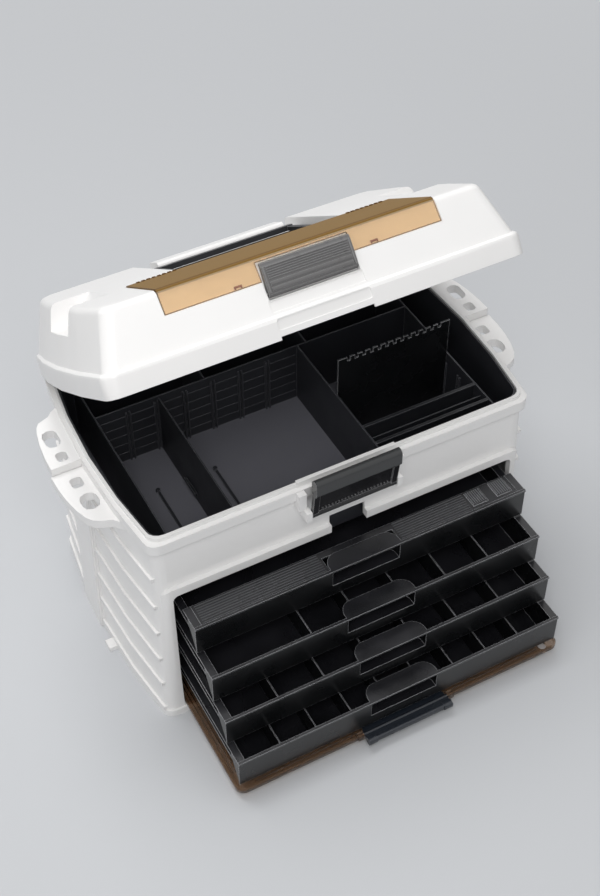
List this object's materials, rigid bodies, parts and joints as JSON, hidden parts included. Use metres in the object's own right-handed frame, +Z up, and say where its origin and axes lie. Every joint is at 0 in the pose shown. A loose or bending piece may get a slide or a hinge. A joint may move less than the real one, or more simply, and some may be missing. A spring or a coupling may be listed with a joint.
{
  "type": "toolbox",
  "caption": "Toolbox with a hinged lid, a divided upper tub, a stack of sliding drawers behind a drop-down clear door, and a latched see-through compartment in the lid.",
  "frame": {"origin": "on the floor, under the middle of the case", "axes": "+Z up, -Y towards the front with the drawers, +X to the right seen from the front"},
  "size_m": [0.632, 0.5507, 0.5852],
  "materials": {
    "white_plastic": "satin moulded plastic, warm white",
    "black_plastic": "matte moulded plastic",
    "drawer_plastic": "semi-gloss moulded plastic",
    "smoked_plastic": "glossy smoked plastic",
    "grey_plastic": "satin dark grey plastic",
    "amber_clear": "clear amber plastic",
    "clear_peg": "clear plastic",
    "steel_pin": "drawn wire"
  },
  "bodies": {
    "case": {"case_shell": "white_plastic", "upper_tub": "black_plastic", "tub_divider": "black_plastic", "rack_plate": "black_plastic", "rack_channel": "black_plastic", "runner_left": "black_plastic", "runner_right": "black_plastic", "hinge_pins": "steel_pin", "main_latch_pin": "steel_pin"},
    "drawer_1": {"drawer_1": "drawer_plastic", "drawer_1_pad": "drawer_plastic"},
    "drawer_2": {"drawer_2": "drawer_plastic", "drawer_2_dividers": "drawer_plastic"},
    "drawer_3": {"drawer_3": "drawer_plastic", "drawer_3_dividers": "drawer_plastic"},
    "drawer_4": {"drawer_4": "drawer_plastic", "drawer_4_dividers": "drawer_plastic"},
    "door": {"door_panel": "amber_clear", "door_pegs": "clear_peg", "door_latch_pin": "steel_pin"},
    "door_latch": {"door_latch": "smoked_plastic"},
    "lid": {"lid_shell": "white_plastic", "window_tray": "black_plastic", "handle_pan": "black_plastic", "handle_pins": "steel_pin", "window_pins": "steel_pin", "window_latch_pin": "steel_pin"},
    "window": {"window": "amber_clear"},
    "window_latch": {"window_latch": "grey_plastic"},
    "handle": {"handle_frame": "black_plastic", "handle_grip": "white_plastic"},
    "main_latch": {"main_latch": "smoked_plastic"}
  },
  "joints": [
    {"name": "drawer_1_slide", "type": "slide", "parent": "case", "child": "drawer_1", "axis": [0, -1, 0], "range_m": [-0.04, 0.175]},
    {"name": "drawer_2_slide", "type": "slide", "parent": "case", "child": "drawer_2", "axis": [0, -1, 0], "range_m": [-0.0805, 0.1345]},
    {"name": "drawer_3_slide", "type": "slide", "parent": "case", "child": "drawer_3", "axis": [0, -1, 0], "range_m": [-0.1126, 0.1024]},
    {"name": "drawer_4_slide", "type": "slide", "parent": "case", "child": "drawer_4", "axis": [0, -1, 0], "range_m": [-0.144, 0.071]},
    {"name": "door_slide", "type": "slide", "parent": "case", "child": "door", "axis": [0, 1, 0], "range_m": [-0.04, 0.11]},
    {"name": "door_latch_hinge", "type": "hinge", "parent": "door", "child": "door_latch", "pos_m": [0, -0.33, 0.018], "axis": [1, 0, 0], "range_deg": [0, 8]},
    {"name": "lid_hinge", "type": "hinge", "parent": "case", "child": "lid", "pos_m": [0, 0.166, 0.33], "axis": [-1, 0, 0], "range_deg": [-34.26, 56]},
    {"name": "window_hinge", "type": "hinge", "parent": "lid", "child": "window", "pos_m": [0, 0.04633, 0.52113], "axis": [-1, 0, 0], "range_deg": [0, 95]},
    {"name": "window_latch_hinge", "type": "hinge", "parent": "lid", "child": "window_latch", "pos_m": [0, -0.07735, 0.55625], "axis": [1, 0, 0], "range_deg": [0, 70]},
    {"name": "handle_hinge", "type": "hinge", "parent": "lid", "child": "handle", "pos_m": [0, 0.0827, 0.48837], "axis": [1, 0, 0], "range_deg": [0, 90]},
    {"name": "main_latch_hinge", "type": "hinge", "parent": "case", "child": "main_latch", "pos_m": [0, -0.183, 0.292], "axis": [1, 0, 0], "range_deg": [0, 80]}
  ]
}
